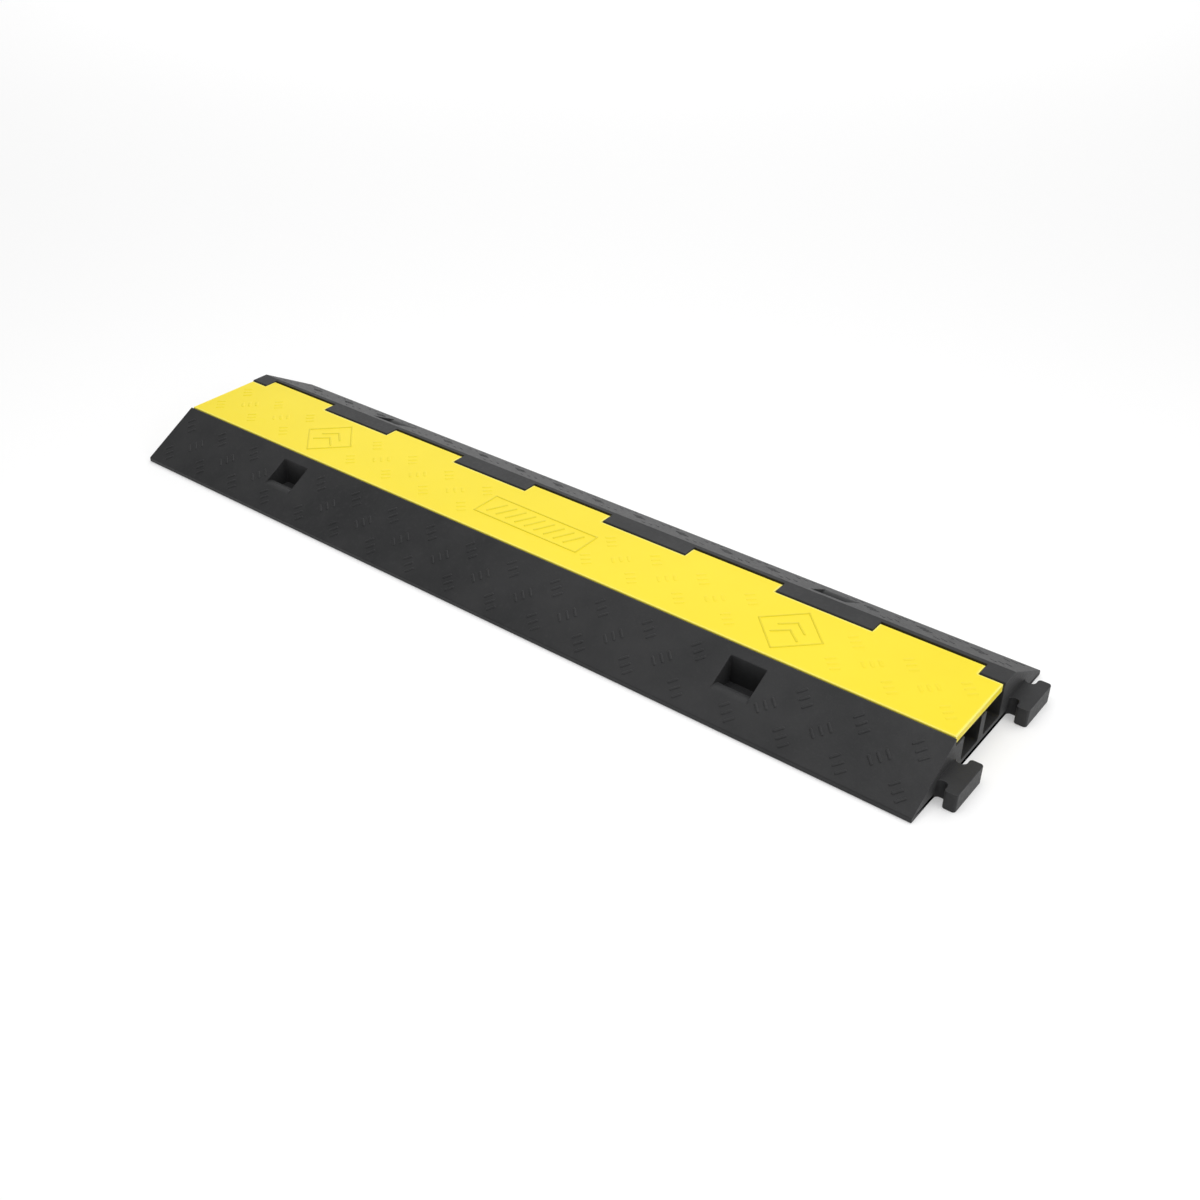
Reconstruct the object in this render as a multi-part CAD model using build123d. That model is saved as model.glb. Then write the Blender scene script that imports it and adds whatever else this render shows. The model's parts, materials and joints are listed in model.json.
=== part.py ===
from build123d import *
import math
import os

# Two-channel cable protector ramp, one module. Millimetres, +Z up.
# The origin is the centre of the base's footprint, on the floor. +X runs along the cables towards the
# male connectors, and +Y towards the hinge.

# Rubber base: outline of the cross-section
LENGTH = 1000.0
WIDTH = 255.0
HEIGHT = 45.0
LIP = 5.0                   # upright edge at the foot of each slope
PLATEAU_HALF = 57.0         # the slopes meet the flat top here, front and back

# Cable channels
CHANNEL_FLOOR = 8.5
CHANNEL_1_Y = (-41.0, -8.0)
DIVIDER_BACK_Y = 2.0
CHANNEL_FILLET = 3.0

# Lid
LID_THICKNESS = 8.4
MARK_HEIGHT = 0.6           # raised marks stand up to the full height of the module
LID_NOTCH_Y = 34.5          # the lid's back edge between its knuckles
LID_END_GAP = 1.5
LID_FRONT_GAP = 1.0
LID_SEAT_GAP = 0.3
LID_EDGE_ROUND = 1.2

# Hinge, turning about a line along X
HINGE_Y = 43.5
HINGE_Z = 39.5
ROD_RADIUS = 3.0
ROD_RUNNING_GAP = 0.08      # radial, in the lid's knuckles only
KNUCKLE_COUNT = 5
KNUCKLE_PITCH = 211.05
KNUCKLE_LENGTH = 105.2
KNUCKLE_END_GAP = 0.5
KNUCKLE_RADIUS = 7.9
KNUCKLE_CORNER = 3.0
HOLLOW_RADIUS = 8.9         # hollow in the base that a knuckle turns in
TAB_RADIUS = 8.7            # round front of the base's tabs, between the knuckles
ROD_CAP = 12.0              # rubber that closes the rod's bore at the male end
ROD_RECESS = 2.0            # the rod ends this far inside the open end of its bore

# Connectors, one on each slope at both ends
CONNECTOR_Y = 70.0
CONNECTOR_HEIGHT = 18.8
NECK_LENGTH = 10.0
NECK_HALF = 14.5
HEAD_LENGTH = 12.4
HEAD_HALF = 25.0
ROOT_HALF = 22.0
NECK_FILLET = 4.0
HEAD_FILLET = 3.0
SOCKET_GAP = 0.8            # room round a male connector in its socket

# Hand pockets in the slopes
POCKET_X = 302.5
POCKET_HALF = 19.2
POCKET_INNER_Y = 69.0
POCKET_OUTER_Y = 102.0      # the slope starts to roll over into the pocket here
POCKET_ROLL = 12.0
POCKET_FLOOR = 8.0

# Raised marks on the lid: a square frame on its corner near each end, and a panel frame in the middle
MARK_Y = -10.5
MARK_LINE = 2.2
DIAMOND_X = 309.5
DIAMOND_SIDE = 51.0
PANEL_LENGTH = 139.0
PANEL_WIDTH = 38.0

HALF_LENGTH = LENGTH / 2
ABOVE = HEIGHT + 10         # any height clear of the module
SLOPE_RATE = (HEIGHT - LIP) / (WIDTH / 2 - PLATEAU_HALF)
LID_TOP = HEIGHT - MARK_HEIGHT
LID_UNDERSIDE = LID_TOP - LID_THICKNESS
SEAT_Z = LID_UNDERSIDE - LID_SEAT_GAP
CHANNEL_2_Y = (DIVIDER_BACK_Y, HINGE_Y - math.sqrt(TAB_RADIUS**2 - (HINGE_Z - SEAT_Z) ** 2))
KNUCKLE_X = [(i - (KNUCKLE_COUNT - 1) / 2) * KNUCKLE_PITCH for i in range(KNUCKLE_COUNT)]


def slope_height(y):
    """Height of the sloping surface at a distance y from the ramp's middle line."""
    return LIP + SLOPE_RATE * (WIDTH / 2 - abs(y))


def prism(outline, x_from, x_to):
    """Solid with a (Y, Z) outline, between two stations along X."""
    face = Plane.YZ.offset(x_from) * make_face(Polyline(*outline, close=True))
    return extrude(face, amount=x_to - x_from)


def block(x_range, y_range, z_range):
    """Box given by its two ends along each axis."""
    ranges = (x_range, y_range, z_range)
    centre = [(low + high) / 2 for low, high in ranges]
    size = [high - low for low, high in ranges]
    return Pos(*centre) * Box(*size)


def hinge_cylinder(radius, x_from, x_to):
    """Round bar about the hinge line."""
    return Pos((x_from + x_to) / 2, HINGE_Y, HINGE_Z) * Rot(0, 90, 0) * Cylinder(radius, x_to - x_from)


def around(x, half):
    """The stretch along X, half to each side of x."""
    return (x - half, x + half)


def connector_outline(gap=0.0):
    """Plan of a male connector, or of its socket where a gap is given: a T rooted inside the base."""
    root_x = HALF_LENGTH - gap - NECK_LENGTH / 2
    root = Pos(root_x, 0) * Rectangle(NECK_LENGTH, 2 * ROOT_HALF)
    neck = Pos(HALF_LENGTH, 0) * Rectangle(2 * NECK_LENGTH, 2 * NECK_HALF)
    head_x = HALF_LENGTH + NECK_LENGTH + HEAD_LENGTH / 2
    head = Pos(head_x, 0) * Rectangle(HEAD_LENGTH, 2 * HEAD_HALF)
    tee = root + neck + head
    inner = [v for v in tee.vertices() if abs(abs(v.Y) - NECK_HALF) < 0.01]
    tee = fillet(inner, NECK_FILLET)
    outer = [v for v in tee.vertices() if abs(abs(v.Y) - HEAD_HALF) < 0.01]
    tee = fillet(outer, HEAD_FILLET)
    if gap:
        tee = offset(tee, gap)
    return tee


def make_connector(side):
    """Male connector with its neck, standing on the floor."""
    return extrude(Pos(0, side * CONNECTOR_Y) * connector_outline(), CONNECTOR_HEIGHT)


def make_socket(side):
    """Hollow under the other end of the slope that takes the next module's connector."""
    outline = Pos(-LENGTH, side * CONNECTOR_Y) * connector_outline(SOCKET_GAP)
    return extrude(outline, CONNECTOR_HEIGHT + SOCKET_GAP)


def make_channel(y_range):
    """Cable channel, open at both ends, with rounded lower corners."""
    channel = block(around(0, HALF_LENGTH), y_range, (CHANNEL_FLOOR, SEAT_Z + 1))
    lower = channel.edges().filter_by(Axis.X).group_by(Axis.Z)[0]
    return fillet(lower, CHANNEL_FILLET)


def make_lid_seat():
    """Room for the lid's plate, stopped at the back by the round fronts of the hinge tabs."""
    y_range = (-PLATEAU_HALF - LID_FRONT_GAP, HINGE_Y)
    seat = block(around(0, HALF_LENGTH), y_range, (SEAT_Z, ABOVE))
    return seat - hinge_cylinder(TAB_RADIUS, -HALF_LENGTH, HALF_LENGTH)


def make_knuckle_hollow(x):
    """Hollow that one knuckle of the lid turns in, open at the top."""
    x_range = around(x, KNUCKLE_LENGTH / 2 + KNUCKLE_END_GAP)
    y_range = (CHANNEL_2_Y[1], HINGE_Y + HOLLOW_RADIUS)
    return hinge_cylinder(HOLLOW_RADIUS, *x_range) + block(x_range, y_range, (HINGE_Z, ABOVE))


def make_hand_pocket(x, side):
    """Pocket in a slope: the outer edge rolls over into it, and the inner wall is upright."""
    rim_z = slope_height(POCKET_OUTER_Y)
    slope_angle = math.atan(SLOPE_RATE)
    roll_end_y = POCKET_OUTER_Y - POCKET_ROLL * (1 + math.sin(slope_angle))
    roll_end_z = rim_z - POCKET_ROLL * math.cos(slope_angle)
    rim = (side * POCKET_OUTER_Y, rim_z)
    roll_end = (side * roll_end_y, roll_end_z)
    roll = TangentArc(rim, roll_end, tangent=(-side, SLOPE_RATE))
    rest = Polyline(
        roll_end,
        (side * roll_end_y, POCKET_FLOOR),
        (side * POCKET_INNER_Y, POCKET_FLOOR),
        (side * POCKET_INNER_Y, ABOVE),
        (side * POCKET_OUTER_Y, ABOVE),
        rim,
    )
    outline = Plane.YZ.offset(x - POCKET_HALF) * make_face([roll, rest])
    return extrude(outline, amount=2 * POCKET_HALF)


def make_base():
    """Rubber moulding: slopes, channels, hinge tabs, connectors and sockets, all in one piece."""
    outline = [
        (-WIDTH / 2, 0),
        (WIDTH / 2, 0),
        (WIDTH / 2, LIP),
        (PLATEAU_HALF, HEIGHT),
        (-PLATEAU_HALF, HEIGHT),
        (-WIDTH / 2, LIP),
    ]
    base = prism(outline, -HALF_LENGTH, HALF_LENGTH)
    base -= make_lid_seat()
    base -= make_channel(CHANNEL_1_Y)
    base -= make_channel(CHANNEL_2_Y)
    for x in KNUCKLE_X:
        base -= make_knuckle_hollow(x)
    base -= hinge_cylinder(ROD_RADIUS, -HALF_LENGTH, HALF_LENGTH - ROD_CAP)
    for side in (-1, 1):
        base += make_connector(side)
        base -= make_socket(side)
        for x in (-POCKET_X, POCKET_X):
            base -= make_hand_pocket(x, side)
    return base


def make_knuckle(x):
    """Back edge of the lid where it wraps the hinge rod: round below, level with the plate on top."""
    x_range = around(x, KNUCKLE_LENGTH / 2)
    barrel = hinge_cylinder(KNUCKLE_RADIUS, *x_range)
    barrel -= block(x_range, around(HINGE_Y, KNUCKLE_RADIUS), (LID_TOP, ABOVE))
    shoulder = block(x_range, (LID_NOTCH_Y - 1, HINGE_Y + KNUCKLE_RADIUS), (HINGE_Z, LID_TOP))
    back_top = shoulder.edges().filter_by(Axis.X).sort_by(Axis.Y)[-2:].sort_by(Axis.Z)[-1]
    shoulder = fillet(back_top, KNUCKLE_CORNER)
    web = block(x_range, (LID_NOTCH_Y - 1, HINGE_Y), (LID_UNDERSIDE, LID_TOP))
    return barrel + shoulder + web


def frame_outline(length, width):
    """Rectangular ring of one line's width."""
    return Rectangle(length, width) - Rectangle(length - 2 * MARK_LINE, width - 2 * MARK_LINE)


def make_marks():
    """Raised frames on top of the lid."""
    marks = Pos(0, MARK_Y) * frame_outline(PANEL_LENGTH, PANEL_WIDTH)
    for x in (-DIAMOND_X, DIAMOND_X):
        marks += Pos(x, MARK_Y) * Rot(0, 0, 45) * frame_outline(DIAMOND_SIDE, DIAMOND_SIDE)
    return Pos(0, 0, LID_TOP) * extrude(marks, MARK_HEIGHT)


def make_lid():
    """Plastic lid over both channels, with its hinge knuckles along the back."""
    x_range = around(0, HALF_LENGTH - LID_END_GAP)
    lid = block(x_range, (-PLATEAU_HALF, LID_NOTCH_Y), (LID_UNDERSIDE, LID_TOP))
    lid = fillet(lid.edges().filter_by(Axis.X).sort_by(Axis.Y)[:2], LID_EDGE_ROUND)
    for x in KNUCKLE_X:
        lid += make_knuckle(x)
    lid -= hinge_cylinder(ROD_RADIUS + ROD_RUNNING_GAP, -HALF_LENGTH, HALF_LENGTH)
    return lid + make_marks()


def make_rod():
    """Steel rod through every knuckle and tab, put in from the socket end."""
    return hinge_cylinder(ROD_RADIUS, -HALF_LENGTH + ROD_RECESS, HALF_LENGTH - ROD_CAP)


os.makedirs("parts", exist_ok=True)
PIECES = {
    "rubber_base": make_base,
    "cable_lid": make_lid,
    "hinge_rod": make_rod,
}
for name, make in PIECES.items():
    export_step(make(), f"parts/{name}.step")
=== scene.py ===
import json
import math

import bmesh
import bpy
from mathutils import Matrix, Vector


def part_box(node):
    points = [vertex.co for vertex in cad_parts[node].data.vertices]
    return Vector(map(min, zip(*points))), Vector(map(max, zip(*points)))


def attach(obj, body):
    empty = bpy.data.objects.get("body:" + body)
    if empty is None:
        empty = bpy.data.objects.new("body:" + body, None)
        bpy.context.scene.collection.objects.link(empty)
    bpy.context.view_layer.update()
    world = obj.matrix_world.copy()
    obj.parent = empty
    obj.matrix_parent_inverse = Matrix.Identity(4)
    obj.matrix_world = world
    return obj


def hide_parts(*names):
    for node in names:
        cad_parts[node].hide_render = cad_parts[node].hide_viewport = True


# Two-channel cable protector ramp: the rubber base, the yellow lid, the hinge rod and their raised tread.
# Outlines are worked out in millimetres and scaled to metres once each mesh is finished.

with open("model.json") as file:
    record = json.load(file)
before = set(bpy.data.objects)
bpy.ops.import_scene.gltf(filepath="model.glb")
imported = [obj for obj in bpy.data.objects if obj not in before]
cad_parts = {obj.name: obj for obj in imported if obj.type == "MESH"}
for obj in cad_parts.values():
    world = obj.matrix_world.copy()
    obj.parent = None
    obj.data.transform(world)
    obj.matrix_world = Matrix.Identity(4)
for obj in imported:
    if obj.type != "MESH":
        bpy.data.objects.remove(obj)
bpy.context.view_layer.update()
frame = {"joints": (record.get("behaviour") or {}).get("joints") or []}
MM = 0.001

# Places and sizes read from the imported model, in millimetres
BASE_LOW, BASE_HIGH = (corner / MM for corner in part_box("rubber_base"))
LID_LOW, LID_HIGH = (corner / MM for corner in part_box("cable_lid"))
ROD_LOW, ROD_HIGH = (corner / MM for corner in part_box("hinge_rod"))
HINGE = Vector(frame["joints"][0]["pos_m"]) / MM
HALF_LENGTH = -BASE_LOW.x
HALF_WIDTH = BASE_HIGH.y
HEIGHT = BASE_HIGH.z

# Base
LIP = 5.0                   # height of the slopes' outer edges
PLATEAU_HALF = -LID_LOW.y
CHANNEL_FLOOR = 8.5
FRONT_CHANNEL_Y = (-41.0, -8.0)
DIVIDER_BACK_Y = 2.0
CHANNEL_FILLET = 3.0
TAB_RADIUS = 8.7
HOLLOW_RADIUS = 8.9
ROD_RADIUS = (ROD_HIGH.z - ROD_LOW.z) / 2
ROD_CAP = 12.0              # rubber left beyond the bore at the connector end
FOOT_ROUND = 0.8
LIP_ROUND = 1.6
SHOULDER_ROUND = 2.5        # where the rear slope meets the top
RIM_ROUND = 1.0             # rims of the channels
SEAT_ROUND = 0.8            # step that the lid's front edge drops into

# Hand pockets
POCKET_X = 302.5
POCKET_HALF = 19.2
POCKET_INNER_Y = 69.0
POCKET_OUTER_Y = 102.0
POCKET_ROLL = 12.0
POCKET_FLOOR = 8.0

# Connectors
CONNECTOR_Y = 70.0
CONNECTOR_HEIGHT = 18.8
NECK_LENGTH = 10.0
NECK_HALF = 14.5
HEAD_LENGTH = BASE_HIGH.x - HALF_LENGTH - NECK_LENGTH
HEAD_HALF = 25.0
ROOT_HALF = 22.0
NECK_FILLET = 4.0
HEAD_FILLET = 3.0
SOCKET_GAP = 0.8

# Lid
LID_TOP = HEIGHT - 0.6
LID_THICKNESS = 8.4
LID_UNDERSIDE = LID_TOP - LID_THICKNESS
LID_NOTCH_Y = 34.5
LID_FRONT_GAP = 1.0
LID_ROUND = 1.2
SEAT_Z = LID_UNDERSIDE - 0.3
KNUCKLE_COUNT = 5
KNUCKLE_PITCH = 211.05
KNUCKLE_LENGTH = 105.2
KNUCKLE_END_GAP = 0.5
KNUCKLE_RADIUS = LID_HIGH.y - HINGE.y
KNUCKLE_CORNER = 3.0
BORE_RADIUS = ROD_RADIUS + 0.08
KNUCKLE_X = [(i - (KNUCKLE_COUNT - 1) / 2) * KNUCKLE_PITCH for i in range(KNUCKLE_COUNT)]

# Tread: groups of three bars in three staggered rows
TREAD_PITCH = 56.3
TREAD_ROW = 20.8
TREAD_MIDDLE_Y = 95.5       # where the slopes' middle rows lie
TREAD_ANGLE = math.radians(45)
BAR_LENGTH = 11.0
BAR_SPACING = 8.0
BAR_SINK = 0.3              # how deep a bar's foot is buried
SLOPE_BAR_WIDTH = 3.0
FRONT_BAR_HEIGHT = 0.7
REAR_BAR_HEIGHT = 0.5
LID_BAR_WIDTH = 3.8
LID_BAR_HEIGHT = 0.4
GROUP_REACH = 9.0           # room that a group of bars needs round its centre

# Raised marks on the lid
MARK_Y = -10.5
MARK_HEIGHT = 0.6
FRAME_LINE = 2.2
FILL_LINE = 2.6
DIAMOND_X = 309.5
DIAMOND_SIDE = 51.0
CHEVRON_TIPS = (0.0, 14.0)
CHEVRON_REACH = 14.0
CHEVRON_DROP = 12.0
PANEL_LENGTH = 139.0
PANEL_WIDTH = 38.0
HATCH_COUNT = 9
HATCH_PITCH = 13.0
HATCH_LEAN = 5.0
HATCH_REACH = 10.0

# Mesh work
FAR = 30.0                  # how far a cutter runs past the surface it opens
EDGE_ROUND = 0.6            # worn edges left by the moulds
ROD_END_ROUND = 0.4
CUT_WELD = 0.005            # corners closer than this after a cut are one corner
BEVEL_WELD = 0.002
FLAT_ANGLE = math.radians(0.4)
SHARP_ANGLE = math.radians(40)
SMOOTH_ANGLE = math.radians(35)

SLOPE_RATE = (HEIGHT - LIP) / (HALF_WIDTH - PLATEAU_HALF)
SLOPE_ANGLE = math.atan(SLOPE_RATE)


def slope_height(y):
    """Height of the sloping surface at a distance y from the ramp's middle line."""
    return LIP + SLOPE_RATE * (HALF_WIDTH - abs(y))


# ---------------------------------------------------------------- outlines

def arc(centre, radius, start, end, steps=12):
    """Points round a centre between two angles in degrees."""
    turns = [math.radians(start + (end - start) * i / steps) for i in range(steps + 1)]
    return [(centre[0] + radius * math.cos(t), centre[1] + radius * math.sin(t)) for t in turns]


def circle(centre, radius):
    """Closed circle of 32 points."""
    return arc(centre, radius, 0, 360, 32)[:-1]


def rounded(corners, steps=4):
    """Closed outline from (a, b, radius) corners; a radius of 0 leaves the corner sharp."""
    outline = []
    count = len(corners)
    for i, (a, b, radius) in enumerate(corners):
        point = Vector((a, b))
        if radius == 0:
            outline.append((a, b))
            continue
        before = (Vector(corners[i - 1][:2]) - point).normalized()
        after = (Vector(corners[(i + 1) % count][:2]) - point).normalized()
        half = before.angle(after) / 2
        centre = point + (before + after).normalized() * (radius / math.sin(half))
        start = point + before * (radius / math.tan(half)) - centre
        end = point + after * (radius / math.tan(half)) - centre
        sweep = start.angle_signed(end)
        for k in range(steps + 1):
            spoke = start.copy()
            spoke.rotate(Matrix.Rotation(-sweep * k / steps, 2))
            outline.append(tuple(centre + spoke))
    return outline


# ---------------------------------------------------------------- meshes

def add_prism(mesh, outline, low, high, axis="X"):
    """Adds a closed prism to a bmesh: a (Y, Z) outline along X, or an (X, Y) outline along Z."""
    rings = []
    for station in (low, high):
        points = [(station, a, b) if axis == "X" else (a, b, station) for a, b in outline]
        rings.append([mesh.verts.new(p) for p in points])
    mesh.faces.new(rings[0])
    mesh.faces.new(rings[1])
    for i in range(len(outline)):
        j = (i + 1) % len(outline)
        mesh.faces.new((rings[0][i], rings[0][j], rings[1][j], rings[1][i]))
    bmesh.ops.recalc_face_normals(mesh, faces=mesh.faces)


def add_block(mesh, x_range, y_range, z_range):
    """Adds a box given by its two ends along each axis."""
    (y0, y1), (z0, z1) = y_range, z_range
    add_prism(mesh, [(y0, z0), (y1, z0), (y1, z1), (y0, z1)], *x_range)


def to_object(mesh, name):
    """Turns a bmesh into an object in the scene."""
    data = bpy.data.meshes.new(name)
    mesh.to_mesh(data)
    mesh.free()
    obj = bpy.data.objects.new(name, data)
    bpy.context.scene.collection.objects.link(obj)
    return obj


def combine(obj, tool, operation):
    """Cuts or joins a second solid into the first, and removes the second."""
    step = obj.modifiers.new("combine", "BOOLEAN")
    step.operation = operation
    step.solver = "EXACT"
    step.object = tool
    graph = bpy.context.evaluated_depsgraph_get()
    result = bpy.data.meshes.new_from_object(obj.evaluated_get(graph))
    obj.modifiers.clear()
    obj.data = result
    bpy.data.objects.remove(tool)


def soften(obj, radius):
    """Merges flat regions and rounds every sharp edge."""
    mesh = bmesh.new()
    mesh.from_mesh(obj.data)
    bmesh.ops.remove_doubles(mesh, verts=mesh.verts, dist=CUT_WELD)
    bmesh.ops.dissolve_limit(mesh, angle_limit=FLAT_ANGLE, verts=mesh.verts, edges=mesh.edges)
    sharp = [e for e in mesh.edges if e.is_manifold and e.calc_face_angle(0) > SHARP_ANGLE]
    bmesh.ops.bevel(
        mesh,
        geom=sharp,
        offset=radius,
        offset_type="OFFSET",
        segments=2,
        profile=0.5,
        affect="EDGES",
        clamp_overlap=False,
    )
    bmesh.ops.remove_doubles(mesh, verts=mesh.verts, dist=BEVEL_WELD)
    mesh.to_mesh(obj.data)
    mesh.free()


def finish_mesh(obj):
    """Scales a piece to metres and shades it smooth with crisp flats."""
    obj.data.transform(Matrix.Scale(MM, 4))
    obj.data.shade_smooth()
    obj.data.set_sharp_from_angle(angle=SMOOTH_ANGLE)
    weighted = obj.modifiers.new("flats", "WEIGHTED_NORMAL")
    weighted.keep_sharp = True
    return obj


# ---------------------------------------------------------------- rubber base

def base_outline():
    """Cross-section of the base through its hinge tabs, as (Y, Z) points."""
    top_turn = 180 - math.degrees(math.asin((HEIGHT - HINGE.z) / TAB_RADIUS))
    seat_turn = 180 + math.degrees(math.asin((HINGE.z - SEAT_Z) / TAB_RADIUS))
    wall_y = HINGE.y + TAB_RADIUS * math.cos(math.radians(seat_turn))
    seat_front = -PLATEAU_HALF - LID_FRONT_GAP
    first = [
        (-HALF_WIDTH, 0, FOOT_ROUND),
        (HALF_WIDTH, 0, FOOT_ROUND),
        (HALF_WIDTH, LIP, LIP_ROUND),
        (PLATEAU_HALF, HEIGHT, SHOULDER_ROUND),
    ]
    last = [
        (wall_y, CHANNEL_FLOOR, CHANNEL_FILLET),
        (DIVIDER_BACK_Y, CHANNEL_FLOOR, CHANNEL_FILLET),
        (DIVIDER_BACK_Y, SEAT_Z, RIM_ROUND),
        (FRONT_CHANNEL_Y[1], SEAT_Z, RIM_ROUND),
        (FRONT_CHANNEL_Y[1], CHANNEL_FLOOR, CHANNEL_FILLET),
        (FRONT_CHANNEL_Y[0], CHANNEL_FLOOR, CHANNEL_FILLET),
        (FRONT_CHANNEL_Y[0], SEAT_Z, RIM_ROUND),
        (seat_front, SEAT_Z, SEAT_ROUND),
        (seat_front, slope_height(seat_front), SEAT_ROUND),
        (-HALF_WIDTH, LIP, LIP_ROUND),
    ]
    front_of_tab = arc((HINGE.y, HINGE.z), TAB_RADIUS, top_turn, seat_turn, 10)
    tab = [(y, z, 0) for y, z in front_of_tab]
    return rounded(first + tab + last)


def connector_outline(side, gap=0.0, shift=0.0):
    """Plan of a male connector, or of its socket where a gap is given."""
    root = HALF_LENGTH - NECK_LENGTH
    neck = HALF_LENGTH
    head = HALF_LENGTH + NECK_LENGTH - gap
    nose = HALF_LENGTH + NECK_LENGTH + HEAD_LENGTH + gap
    half_side = [
        (root, -ROOT_HALF - gap, 0),
        (neck, -ROOT_HALF - gap, 0),
        (neck, -NECK_HALF - gap, NECK_FILLET - gap),
        (head, -NECK_HALF - gap, NECK_FILLET - gap),
        (head, -HEAD_HALF - gap, HEAD_FILLET + gap),
        (nose, -HEAD_HALF - gap, HEAD_FILLET + gap),
    ]
    other_side = [(x, -y, radius) for x, y, radius in reversed(half_side)]
    middle = side * CONNECTOR_Y
    return [(x + shift, y + middle) for x, y in rounded(half_side + other_side)]


def hollow_outline():
    """Cross-section of the hollow that one knuckle turns in."""
    lower = arc((HINGE.y, HINGE.z), HOLLOW_RADIUS, 0, -180, 20)
    top = HEIGHT + FAR
    return lower + [(HINGE.y - HOLLOW_RADIUS, top), (HINGE.y + HOLLOW_RADIUS, top)]


def pocket_outline(side):
    """Cross-section of a hand pocket: the slope rolls over into it, and the inner wall is upright."""
    normal = Vector((math.sin(SLOPE_ANGLE), math.cos(SLOPE_ANGLE)))
    centre = Vector((POCKET_OUTER_Y, slope_height(POCKET_OUTER_Y))) - POCKET_ROLL * normal
    roll = arc(centre, POCKET_ROLL, 90 - math.degrees(SLOPE_ANGLE), 180, 24)
    top = HEIGHT + FAR
    rest = [
        (centre.x - POCKET_ROLL, POCKET_FLOOR),
        (POCKET_INNER_Y, POCKET_FLOOR),
        (POCKET_INNER_Y, top),
        (POCKET_OUTER_Y, top),
    ]
    return [(side * y, z) for y, z in roll + rest]


def make_base():
    """Visible rubber base."""
    mesh = bmesh.new()
    add_prism(mesh, base_outline(), -HALF_LENGTH, HALF_LENGTH)
    base = to_object(mesh, "base_moulding")

    heads = bmesh.new()
    for side in (-1, 1):
        add_prism(heads, connector_outline(side), 0, CONNECTOR_HEIGHT, "Z")
    combine(base, to_object(heads, "heads"), "UNION")

    hollows = bmesh.new()
    half = KNUCKLE_LENGTH / 2 + KNUCKLE_END_GAP
    for x in KNUCKLE_X:
        add_prism(hollows, hollow_outline(), x - half, x + half)
    for side in (-1, 1):
        for x in (-POCKET_X, POCKET_X):
            add_prism(hollows, pocket_outline(side), x - POCKET_HALF, x + POCKET_HALF)
        socket = connector_outline(side, SOCKET_GAP, -2 * HALF_LENGTH)
        add_prism(hollows, socket, -FAR, CONNECTOR_HEIGHT + SOCKET_GAP, "Z")
    combine(base, to_object(hollows, "hollows"), "DIFFERENCE")

    bore = bmesh.new()
    add_prism(bore, circle((HINGE.y, HINGE.z), ROD_RADIUS), -HALF_LENGTH - FAR, HALF_LENGTH - ROD_CAP)
    combine(base, to_object(bore, "bore"), "DIFFERENCE")
    soften(base, EDGE_ROUND)
    # A few points of the rounded edges would stand a little past the end face
    for vertex in base.data.vertices:
        vertex.co.x = max(vertex.co.x, -HALF_LENGTH)
    return finish_mesh(base)


# ---------------------------------------------------------------- lid and rod

def lid_outline():
    """Cross-section of the lid through a knuckle, as (Y, Z) points."""
    back = HINGE.y + KNUCKLE_RADIUS
    reach = math.degrees(math.asin((HINGE.z - LID_UNDERSIDE) / KNUCKLE_RADIUS))
    barrel = arc((HINGE.y, HINGE.z), KNUCKLE_RADIUS, 0, -180 + reach, 18)
    front = [
        (LID_LOW.y, LID_UNDERSIDE, LID_ROUND),
        (LID_LOW.y, LID_TOP, LID_ROUND),
        (back, LID_TOP, KNUCKLE_CORNER),
    ]
    return rounded(front + [(y, z, 0) for y, z in barrel])


def make_lid():
    """Visible yellow lid."""
    mesh = bmesh.new()
    add_prism(mesh, lid_outline(), LID_LOW.x, LID_HIGH.x)
    lid = to_object(mesh, "lid_moulding")

    notches = bmesh.new()
    edges = [-HALF_LENGTH - FAR]
    for x in KNUCKLE_X:
        edges += [x - KNUCKLE_LENGTH / 2, x + KNUCKLE_LENGTH / 2]
    edges.append(HALF_LENGTH + FAR)
    for start, end in zip(edges[::2], edges[1::2]):
        add_block(notches, (start, end), (LID_NOTCH_Y, HINGE.y + FAR), (0, HEIGHT + FAR))
    combine(lid, to_object(notches, "notches"), "DIFFERENCE")

    bore = bmesh.new()
    add_prism(bore, circle((HINGE.y, HINGE.z), BORE_RADIUS), -HALF_LENGTH - FAR, HALF_LENGTH + FAR)
    combine(lid, to_object(bore, "bore"), "DIFFERENCE")
    soften(lid, EDGE_ROUND)
    return finish_mesh(lid)


def make_rod():
    """Drawn steel rod with broken edges at its ends."""
    mesh = bmesh.new()
    add_prism(mesh, circle((HINGE.y, HINGE.z), ROD_RADIUS), ROD_LOW.x, ROD_HIGH.x)
    rod = to_object(mesh, "steel_hinge_rod")
    soften(rod, ROD_END_ROUND)
    return finish_mesh(rod)


# ---------------------------------------------------------------- raised tread and marks

def add_bar(mesh, place, length, width, height):
    """Adds one raised bar with round ends and a domed top, on the plane that place sets up."""
    half = (length - width) / 2
    dome_turns = (0.0, 0.45, 0.85, 1.25)  # radians up the dome
    levels = [(1.0, -BAR_SINK)]
    levels += [(math.cos(t), height * math.sin(t)) for t in dome_turns]
    rings = []
    for share, z in levels:
        radius = width / 2 * share
        right = arc((half, 0), radius, -90, 90, 5)
        left = arc((-half, 0), radius, 90, 270, 5)
        rings.append([mesh.verts.new(place @ Vector((a, b, z))) for a, b in right + left])
    count = len(rings[0])
    for low, high in zip(rings, rings[1:]):
        for i in range(count):
            j = (i + 1) % count
            mesh.faces.new((low[i], low[j], high[j], high[i]))
    mesh.faces.new(list(reversed(rings[0])))
    mesh.faces.new(rings[-1])


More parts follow.
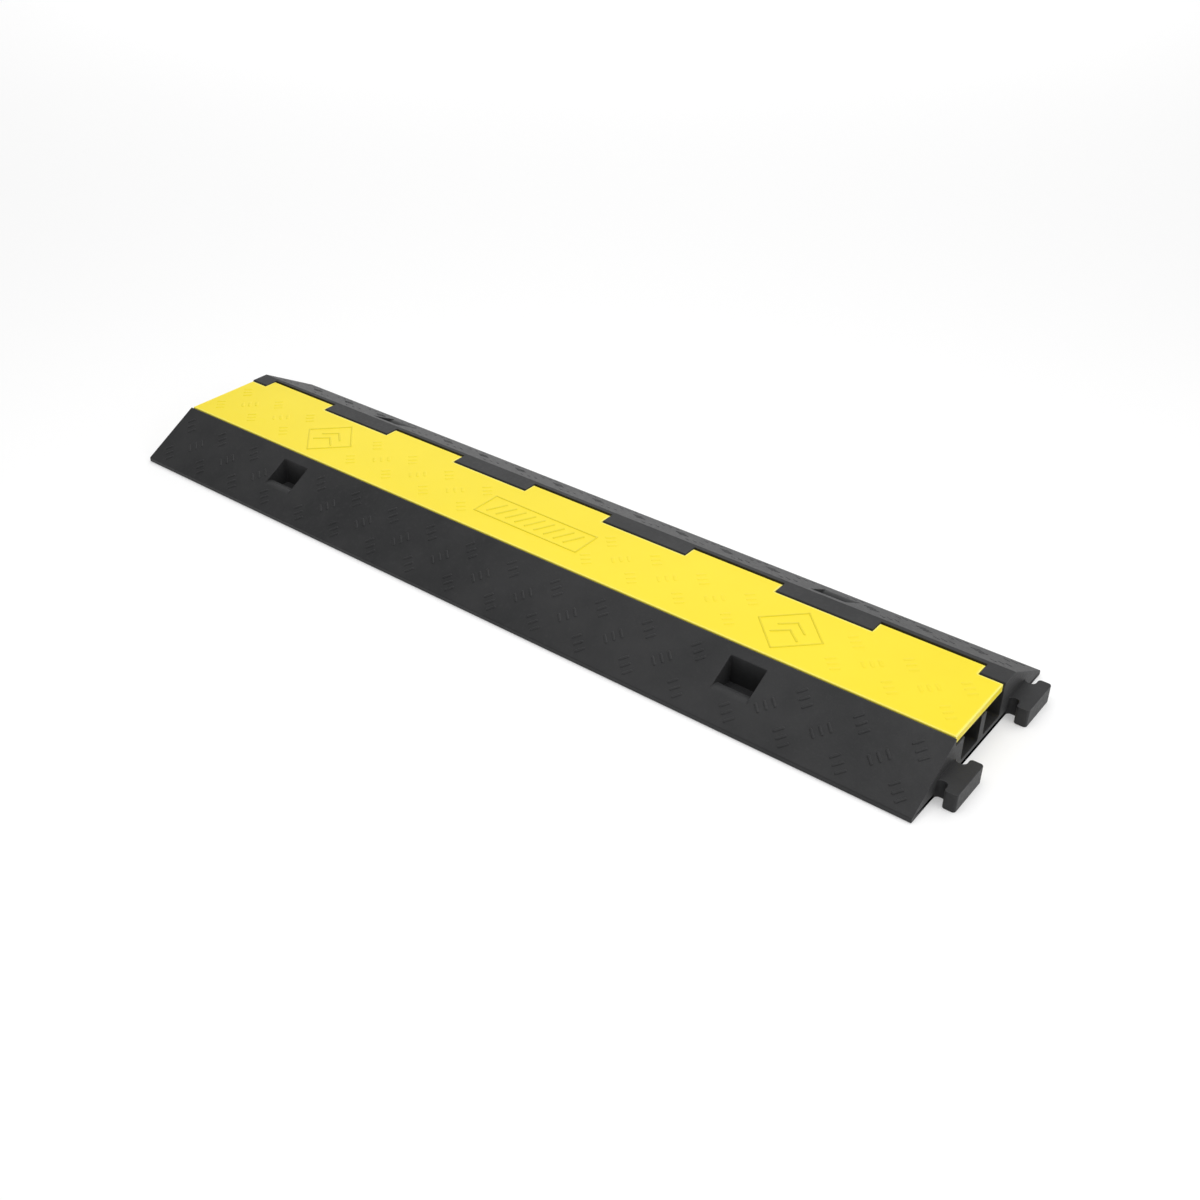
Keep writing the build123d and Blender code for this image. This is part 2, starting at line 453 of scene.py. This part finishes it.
def tread_groups():
    """Centre and lean of each group; the outer rows sit half a pitch along and lean the other way."""
    columns = int(HALF_LENGTH // TREAD_PITCH)
    for i in range(-columns, columns + 1):
        yield i * TREAD_PITCH, 0, -TREAD_ANGLE
    for row in (-1, 1):
        for i in range(-columns - 1, columns + 1):
            yield (i + 0.5) * TREAD_PITCH, row * TREAD_ROW, TREAD_ANGLE


def add_tread_group(mesh, plane, x, y, lean, width, height):
    """Adds three parallel bars round a centre on a plane."""
    middle = plane @ Matrix.Translation((x, y, 0)) @ Matrix.Rotation(lean, 4, "Z")
    for i in (-1, 0, 1):
        place = middle @ Matrix.Translation((0, i * BAR_SPACING, 0))
        add_bar(mesh, place, BAR_LENGTH, width, height)


def make_slope_tread(side, height, name):
    """Tread bars of one slope, left out round the hand pockets."""
    lift = Matrix.Translation((0, side * TREAD_MIDDLE_Y, slope_height(TREAD_MIDDLE_Y)))
    plane = lift @ Matrix.Rotation(-side * SLOPE_ANGLE, 4, "X")
    mesh = bmesh.new()
    for x, y, lean in tread_groups():
        centre = plane @ Vector((x, y, 0))
        beside_pocket = abs(abs(centre.x) - POCKET_X) < POCKET_HALF + GROUP_REACH
        level_with_pocket = POCKET_INNER_Y - GROUP_REACH < abs(centre.y) < POCKET_OUTER_Y + GROUP_REACH
        if not (beside_pocket and level_with_pocket):
            add_tread_group(mesh, plane, x, y, -side * lean, SLOPE_BAR_WIDTH, height)
    return finish_mesh(to_object(mesh, name))


def make_lid_tread():
    """Lower, wider bars of the lid, left out round its marks."""
    plane = Matrix.Translation((0, MARK_Y, LID_TOP))
    mesh = bmesh.new()
    for x, y, lean in tread_groups():
        in_diamond = abs(abs(x) - DIAMOND_X) + abs(y) < DIAMOND_SIDE / math.sqrt(2) + GROUP_REACH
        in_panel = abs(x) < PANEL_LENGTH / 2 + GROUP_REACH
        if not (in_diamond or in_panel):
            add_tread_group(mesh, plane, x, y, lean, LID_BAR_WIDTH, LID_BAR_HEIGHT)
    return finish_mesh(to_object(mesh, "lid_tread"))


def add_stroke(mesh, start, end, width):
    """Adds one straight raised stroke on top of the lid between two (X, Y) points."""
    start, end = Vector(start), Vector(end)
    run = end - start
    middle = (start + end) / 2
    turn = Matrix.Rotation(math.atan2(run.y, run.x), 4, "Z")
    place = Matrix.Translation((middle.x, middle.y, LID_TOP)) @ turn
    add_bar(mesh, place, run.length + width, width, MARK_HEIGHT)


def add_frame(mesh, centre, length, width, turn):
    """Adds a rectangular frame of four strokes."""
    spin = Matrix.Rotation(-turn, 2)
    a, b = (length - FRAME_LINE) / 2, (width - FRAME_LINE) / 2
    corners = [Vector(centre) + spin @ Vector(p) for p in ((-a, -b), (a, -b), (a, b), (-a, b))]
    for i in range(4):
        add_stroke(mesh, corners[i - 1], corners[i], FRAME_LINE)


def make_marks():
    """Plain geometric marks: a framed pair of chevrons near each end, and framed hatching in the middle."""
    mesh = bmesh.new()
    for x in (-DIAMOND_X, DIAMOND_X):
        add_frame(mesh, (x, MARK_Y), DIAMOND_SIDE, DIAMOND_SIDE, math.radians(45))
        for tip in CHEVRON_TIPS:
            for way in (-1, 1):
                foot = (x + way * CHEVRON_REACH, MARK_Y + tip - CHEVRON_DROP)
                add_stroke(mesh, (x, MARK_Y + tip), foot, FILL_LINE)
    add_frame(mesh, (0, MARK_Y), PANEL_LENGTH, PANEL_WIDTH, 0)
    for i in range(HATCH_COUNT):
        x = (i - (HATCH_COUNT - 1) / 2) * HATCH_PITCH
        low, high = (x - HATCH_LEAN, MARK_Y - HATCH_REACH), (x + HATCH_LEAN, MARK_Y + HATCH_REACH)
        add_stroke(mesh, low, high, FILL_LINE)
    return finish_mesh(to_object(mesh, "lid_marks"))


# ---------------------------------------------------------------- materials

def new_material(name):
    """Node material, with its node tree and its shader."""
    material = bpy.data.materials.new(name)
    material.use_nodes = True
    return material, material.node_tree, material.node_tree.nodes["Principled BSDF"]


def object_place(tree):
    """Coordinates in the piece's own space, in metres."""
    return tree.nodes.new("ShaderNodeTexCoord").outputs["Object"]


def add_noise(tree, source, scale, detail):
    """Noise whose scale counts features per metre."""
    noise = tree.nodes.new("ShaderNodeTexNoise")
    noise.inputs["Scale"].default_value = scale
    noise.inputs["Detail"].default_value = detail
    noise.inputs["Roughness"].default_value = 0.6
    tree.links.new(source, noise.inputs["Vector"])
    return noise.outputs["Fac"]


def add_range(tree, source, given, wanted):
    """Maps a given (low, high) stretch of a value to a wanted one."""
    node = tree.nodes.new("ShaderNodeMapRange")
    names = ("From Min", "From Max", "To Min", "To Max")
    for name, value in zip(names, (*given, *wanted)):
        node.inputs[name].default_value = value
    tree.links.new(source, node.inputs["Value"])
    return node.outputs["Result"]


def add_mix(tree, factor, first, second):
    """Blends two colours, each given as a socket or as numbers."""
    node = tree.nodes.new("ShaderNodeMix")
    node.data_type = "RGBA"
    tree.links.new(factor, node.inputs["Factor"])
    for socket, value in ((node.inputs[6], first), (node.inputs[7], second)):
        if isinstance(value, tuple):
            socket.default_value = (*value, 1)
        else:
            tree.links.new(value, socket)
    return node.outputs[2]


def add_bump(tree, height, distance, strength, normal=None):
    """Bump in metres, laid on top of another bump if one is given."""
    bump = tree.nodes.new("ShaderNodeBump")
    bump.inputs["Distance"].default_value = distance
    bump.inputs["Strength"].default_value = strength
    tree.links.new(height, bump.inputs["Height"])
    if normal is not None:
        tree.links.new(normal, bump.inputs["Normal"])
    return bump.outputs["Normal"]


def add_edge_mask(tree, radius, start, full):
    """1 along edges and 0 on flats, by how far a rounded-off normal leans from the true one."""
    bevel = tree.nodes.new("ShaderNodeBevel")
    bevel.samples = 8
    bevel.inputs["Radius"].default_value = radius
    geometry = tree.nodes.new("ShaderNodeNewGeometry")
    dot = tree.nodes.new("ShaderNodeVectorMath")
    dot.operation = "DOT_PRODUCT"
    tree.links.new(bevel.outputs["Normal"], dot.inputs[0])
    tree.links.new(geometry.outputs["Normal"], dot.inputs[1])
    return add_range(tree, dot.outputs["Value"], (start, full), (0, 1))


def rubber_material():
    """Moulded black rubber: fine grain, cloudy bloom and edges painted paler as a highlight."""
    material, tree, shader = new_material("moulded_rubber")
    place = object_place(tree)
    cloud = add_noise(tree, place, scale=14, detail=3)
    mottle = add_noise(tree, place, scale=260, detail=4)
    grain = add_noise(tree, place, scale=1500, detail=3)
    dark, pale = (0.016, 0.0165, 0.0175), (0.028, 0.028, 0.029)
    bloom, rubber_edge_highlight = (0.045, 0.045, 0.046), (0.07, 0.07, 0.072)
    colour = add_mix(tree, add_range(tree, cloud, (0.35, 0.7), (0, 1)), dark, pale)
    colour = add_mix(tree, add_range(tree, mottle, (0.52, 0.72), (0, 0.35)), colour, bloom)
    # Paler colour along the edges is a painted highlight.
    edge_highlight_mask = add_edge_mask(tree, radius=0.0012, start=0.995, full=0.88)
    colour = add_mix(tree, add_range(tree, edge_highlight_mask, (0, 1), (0, 0.45)), colour, rubber_edge_highlight)
    tree.links.new(colour, shader.inputs["Base Color"])
    roughness = add_range(tree, mottle, (0.3, 0.7), (0.5, 0.66))
    tree.links.new(roughness, shader.inputs["Roughness"])
    uneven = add_bump(tree, mottle, distance=0.0004, strength=0.25)
    normal = add_bump(tree, grain, distance=0.00015, strength=0.35, normal=uneven)
    tree.links.new(normal, shader.inputs["Normal"])
    shader.inputs["Specular IOR Level"].default_value = 0.33
    shader.inputs["Sheen Weight"].default_value = 0.05
    return material


def yellow_material(name, first, second, edge_highlight_share):
    """Moulded yellow plastic: faint flow clouds, fine pebble and, where they have a share, edges painted
    paler as a highlight.
    """
    material, tree, shader = new_material(name)
    place = object_place(tree)
    cloud = add_noise(tree, place, scale=9, detail=3)
    pebble = add_noise(tree, place, scale=900, detail=2)
    colour = add_mix(tree, add_range(tree, cloud, (0.3, 0.7), (0, 1)), first, second)
    if edge_highlight_share:
        # Paler yellow along the edges is a painted highlight.
        edge_highlight_mask = add_edge_mask(tree, radius=0.0035, start=0.9985, full=0.96)
        yellow_edge_highlight = (1.0, 0.93, 0.24)
        colour = add_mix(tree, add_range(tree, edge_highlight_mask, (0, 1), (0, edge_highlight_share)), colour, yellow_edge_highlight)
    tree.links.new(colour, shader.inputs["Base Color"])
    roughness = add_range(tree, pebble, (0.3, 0.7), (0.38, 0.5))
    tree.links.new(roughness, shader.inputs["Roughness"])
    tree.links.new(add_bump(tree, pebble, distance=0.0002, strength=0.2), shader.inputs["Normal"])
    shader.inputs["Specular IOR Level"].default_value = 0.35
    return material


def steel_material():
    """Drawn steel with fine lines along the rod."""
    material, tree, shader = new_material("drawn_steel")
    stretch = tree.nodes.new("ShaderNodeMapping")
    stretch.inputs["Scale"].default_value = (0.02, 1, 1)
    tree.links.new(object_place(tree), stretch.inputs["Vector"])
    lines = add_noise(tree, stretch.outputs["Vector"], scale=2500, detail=3)
    colour = add_mix(tree, lines, (0.42, 0.42, 0.43), (0.60, 0.60, 0.61))
    tree.links.new(colour, shader.inputs["Base Color"])
    roughness = add_range(tree, lines, (0.3, 0.7), (0.25, 0.42))
    tree.links.new(roughness, shader.inputs["Roughness"])
    shader.inputs["Metallic"].default_value = 1.0
    return material


def floor_material():
    """Plain pale studio floor."""
    material, _, shader = new_material("studio_floor")
    shader.inputs["Base Color"].default_value = (0.72, 0.72, 0.72, 1)
    shader.inputs["Emission Color"].default_value = (1, 1, 1, 1)
    shader.inputs["Emission Strength"].default_value = 0.3
    shader.inputs["Roughness"].default_value = 0.9
    shader.inputs["Specular IOR Level"].default_value = 0.1
    return material


def dress(obj, material):
    """Gives a piece its material."""
    obj.data.materials.clear()
    obj.data.materials.append(material)


# ---------------------------------------------------------------- studio, in metres

def make_floor():
    """Floor, a hair below the ramp's underside so that the two faces don't coincide."""
    mesh = bmesh.new()
    half, level = 8.0, -0.0002
    corners = ((-half, -half), (half, -half), (half, half), (-half, half))
    mesh.faces.new([mesh.verts.new((x, y, level)) for x, y in corners])
    floor = to_object(mesh, "floor")
    floor.data.materials.append(floor_material())


def make_world():
    """White surroundings."""
    world = bpy.data.worlds.new("studio")
    world.use_nodes = True
    background = world.node_tree.nodes["Background"]
    background.inputs["Color"].default_value = (1, 1, 1, 1)
    background.inputs["Strength"].default_value = 0.34
    bpy.context.scene.world = world


def make_key():
    """Broad soft light from above and a little behind, to the right."""
    lamp = bpy.data.lights.new("key", "SUN")
    lamp.energy = 1.3
    lamp.angle = math.radians(60)
    light = bpy.data.objects.new("key", lamp)
    light.rotation_euler = Vector((0.22, 0.33, 0.92)).to_track_quat("Z", "Y").to_euler()
    bpy.context.scene.collection.objects.link(light)


def make_soft_box(name, place, aim, size, power):
    """Square soft box that faces a point."""
    lamp = bpy.data.lights.new(name, "AREA")
    lamp.size = size
    lamp.energy = power
    light = bpy.data.objects.new(name, lamp)
    light.location = place
    light.rotation_euler = (Vector(aim) - Vector(place)).to_track_quat("-Z", "Y").to_euler()
    bpy.context.scene.collection.objects.link(light)


def make_camera():
    """Camera at the viewing angle: azimuth from -Y towards +X, and height above the horizon."""
    azimuth, elevation = math.radians(38.195), math.radians(34.093)
    distance = 1.4565
    aim = Vector((0.0645, 0.0169, -0.0393))
    back = Vector((
        math.sin(azimuth) * math.cos(elevation),
        -math.cos(azimuth) * math.cos(elevation),
        math.sin(elevation),
    ))
    data = bpy.data.cameras.new("camera")
    data.lens = 41.23
    data.clip_end = 50
    camera = bpy.data.objects.new("camera", data)
    camera.location = aim + back * distance
    camera.rotation_euler = (-back).to_track_quat("-Z", "Y").to_euler()
    bpy.context.scene.collection.objects.link(camera)
    bpy.context.scene.camera = camera


# ---------------------------------------------------------------- assembly

make_camera()
make_world()
make_key()
make_soft_box("right_box", place=(1.4, -0.05, 0.8), aim=(0.5, 0, 0), size=0.6, power=2.5)
make_soft_box("top_box", place=(0.05, -0.35, 1.4), aim=(0.3, -0.1, 0), size=0.9, power=5)
make_soft_box("back_box", place=(-2.2, 3.0, 1.8), aim=(0, 0, 0), size=3.5, power=38)
make_floor()
bpy.context.scene.view_settings.view_transform = "Standard"

rubber = rubber_material()
# The lid's yellow carries a painted highlight along its edges.
yellow = yellow_material("moulded_yellow", (0.92, 0.735, 0.008), (0.95, 0.765, 0.012), 0.85)
# The tread's yellow is a little darker than the lid's: painted shade on the raised bars.
painted_shade_tread_yellow = yellow_material("painted_shade_tread_yellow", (0.90, 0.72, 0.008), (0.93, 0.75, 0.011), 0)
# The marks' yellow is darker than the lid's: painted shade on the raised marks.
painted_shade_mark_yellow = yellow_material("painted_shade_mark_yellow", (0.79, 0.64, 0.008), (0.83, 0.68, 0.010), 0)

base_piece = make_base()
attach(base_piece, "base")
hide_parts("rubber_base")
dress(base_piece, rubber)

for side, height, name in (
    (-1, FRONT_BAR_HEIGHT, "front_slope_tread"),
    (1, REAR_BAR_HEIGHT, "rear_slope_tread"),
):
    tread = make_slope_tread(side, height, name)
    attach(tread, "base")
    dress(tread, rubber)

rod_piece = make_rod()
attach(rod_piece, "base")
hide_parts("hinge_rod")
dress(rod_piece, steel_material())

lid_piece = make_lid()
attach(lid_piece, "lid")
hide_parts("cable_lid")
dress(lid_piece, yellow)

for piece, plastic in ((make_lid_tread(), painted_shade_tread_yellow), (make_marks(), painted_shade_mark_yellow)):
    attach(piece, "lid")
    dress(piece, plastic)
